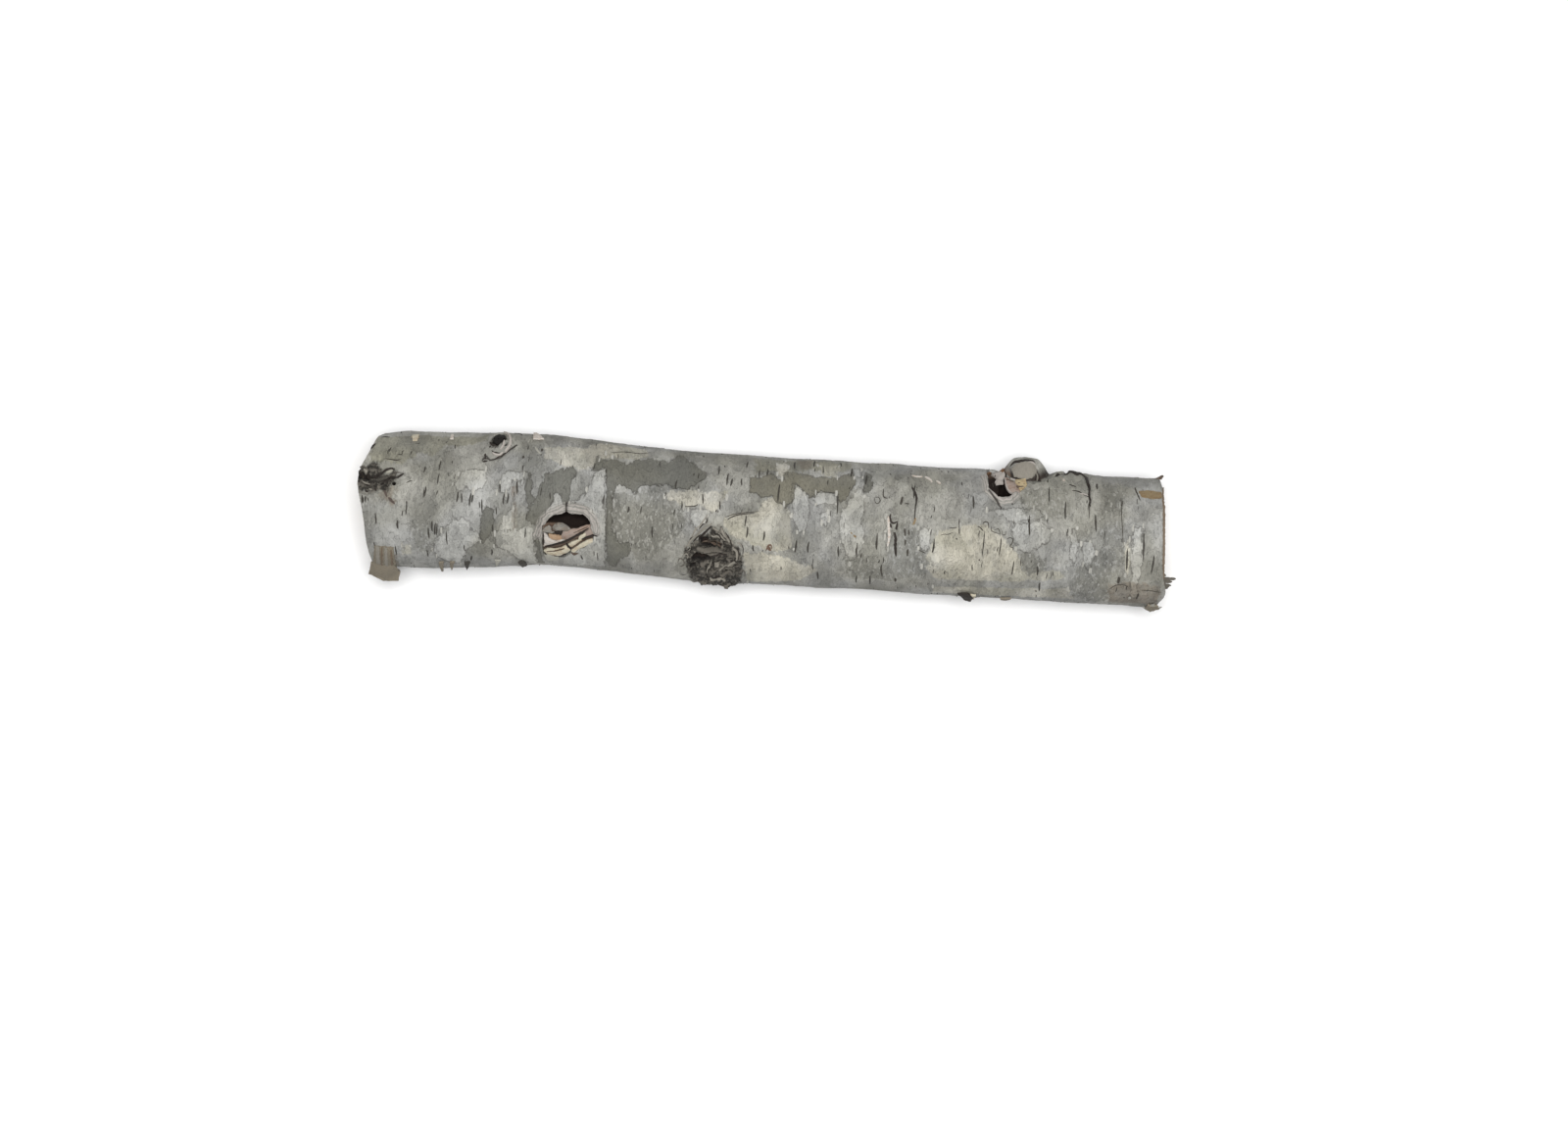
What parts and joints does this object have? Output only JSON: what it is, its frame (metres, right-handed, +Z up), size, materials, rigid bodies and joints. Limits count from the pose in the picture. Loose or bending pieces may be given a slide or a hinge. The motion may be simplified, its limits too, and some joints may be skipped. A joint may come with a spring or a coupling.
{
  "type": "birch branch",
  "caption": "Cut length of birch branch with grey-white papery bark, torn knot holes and sawn ends, lying on its side.",
  "frame": {"origin": "on the flat that the branch rests on, under its middle", "axes": "+X along the branch towards its square-sawn end, +Z up, +Y to the back as the picture is seen"},
  "size_m": [0.3031, 0.0607, 0.0534],
  "materials": {
    "bark": "dry papery birch bark, matte",
    "sawn_wood": "dry sawn end grain, matte",
    "dead_wood": "dark weathered wood inside knots, matte"
  },
  "bodies": {
    "root": {"birch_branch": "bark"}
  },
  "joints": []
}
